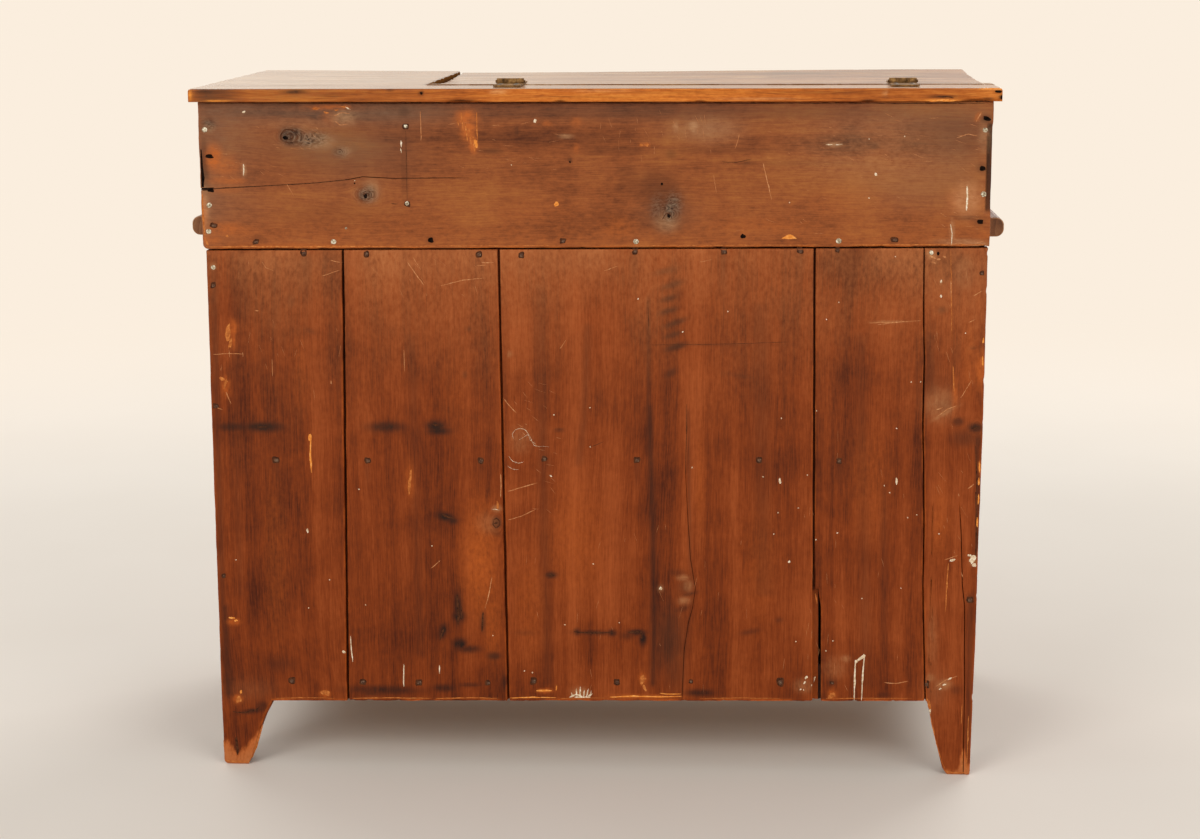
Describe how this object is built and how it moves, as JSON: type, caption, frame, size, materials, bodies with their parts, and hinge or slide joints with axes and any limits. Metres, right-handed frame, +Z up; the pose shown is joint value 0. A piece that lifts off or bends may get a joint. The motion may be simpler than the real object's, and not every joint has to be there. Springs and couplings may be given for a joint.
{
  "type": "dry sink cabinet",
  "caption": "Country dry sink cabinet: nailed pine case on tapered feet, hinged lid over a well, a small drawer and panelled doors with a turn button.",
  "frame": {"origin": "middle of the floor area that the cabinet's whole outline covers, at the height of the feet's soles", "axes": "+Z up; the doors and drawer face -Y and the back boards face +Y; +X to the right of someone who faces the doors, on the drawer's side"},
  "size_m": [0.9366, 0.456, 0.8127],
  "materials": {
    "red_washed_pine": "old pine under a thin red wash, rubbed satin",
    "brown_washed_pine": "old pine under a thin brown wash, rubbed satin",
    "varnished_top_pine": "worn varnish, satin",
    "bare_pine": "unfinished, aged",
    "dark_turned_maple": "turned, dark stain, satin",
    "hinge_iron": "wrought iron with old brown patina",
    "screw_steel": "dull steel"
  },
  "bodies": {
    "case": {"side_board_right": "red_washed_pine", "side_board_left": "red_washed_pine", "bottom_board": "bare_pine", "middle_shelf": "bare_pine", "well_floor": "bare_pine", "well_divider": "bare_pine", "drawer_guide_left": "bare_pine", "drawer_guide_right": "bare_pine", "front_stile_right": "red_washed_pine", "front_stile_left": "red_washed_pine", "middle_rail": "red_washed_pine", "bottom_rail": "red_washed_pine", "well_apron": "red_washed_pine", "drawer_stile": "red_washed_pine", "drawer_top_rail": "red_washed_pine", "centre_stile": "red_washed_pine", "upper_back_board": "brown_washed_pine", "back_board_1": "red_washed_pine", "back_board_2": "red_washed_pine", "back_board_3": "red_washed_pine", "back_board_4": "red_washed_pine", "back_board_5": "red_washed_pine", "hinge_rail": "varnished_top_pine", "fixed_top_board": "varnished_top_pine", "lift_cleat_right": "red_washed_pine", "lift_cleat_left": "red_washed_pine", "lid_hinge_left_rail_leaf": "hinge_iron", "lid_hinge_right_rail_leaf": "hinge_iron", "left_door_lower_hinge_frame_leaf": "hinge_iron", "left_door_upper_hinge_frame_leaf": "hinge_iron", "right_door_lower_hinge_frame_leaf": "hinge_iron", "right_door_upper_hinge_frame_leaf": "hinge_iron", "turn_button_screw": "screw_steel"},
    "lid": {"lid_board": "varnished_top_pine", "lid_hinge_left_lid_leaf": "hinge_iron", "lid_hinge_right_lid_leaf": "hinge_iron"},
    "left_door": {"left_door_hinge_stile": "red_washed_pine", "left_door_latch_stile": "red_washed_pine", "left_door_top_rail": "red_washed_pine", "left_door_bottom_rail": "red_washed_pine", "left_door_panel": "red_washed_pine", "left_door_knob": "dark_turned_maple", "left_door_lower_hinge_door_leaf": "hinge_iron", "left_door_upper_hinge_door_leaf": "hinge_iron"},
    "right_door": {"right_door_hinge_stile": "red_washed_pine", "right_door_latch_stile": "red_washed_pine", "right_door_top_rail": "red_washed_pine", "right_door_bottom_rail": "red_washed_pine", "right_door_panel": "red_washed_pine", "right_door_knob": "dark_turned_maple", "right_door_lower_hinge_door_leaf": "hinge_iron", "right_door_upper_hinge_door_leaf": "hinge_iron"},
    "drawer": {"drawer_front": "red_washed_pine", "drawer_left_side": "bare_pine", "drawer_right_side": "bare_pine", "drawer_back": "bare_pine", "drawer_bottom": "bare_pine", "drawer_knob": "dark_turned_maple"},
    "turn_button": {"turn_button": "dark_turned_maple"}
  },
  "joints": [
    {"name": "lid_hinge", "type": "hinge", "parent": "case", "child": "lid", "pos_m": [-0.1305, 0.1545, 0.809], "axis": [-1, 0, 0], "range_deg": [0, 100]},
    {"name": "left_door_hinge", "type": "hinge", "parent": "case", "child": "left_door", "pos_m": [-0.384, -0.2032, 0.3605], "axis": [0, 0, -1], "range_deg": [0, 165]},
    {"name": "right_door_hinge", "type": "hinge", "parent": "case", "child": "right_door", "pos_m": [0.384, -0.2032, 0.3605], "axis": [0, 0, 1], "range_deg": [0, 165]},
    {"name": "drawer_slide", "type": "slide", "parent": "case", "child": "drawer", "axis": [0, -1, 0], "range_m": [0, 0.27]},
    {"name": "turn_button_pivot", "type": "hinge", "parent": "case", "child": "turn_button", "pos_m": [0, -0.2051, 0.452], "axis": [0, -1, 0], "range_deg": [-90, 90]}
  ]
}
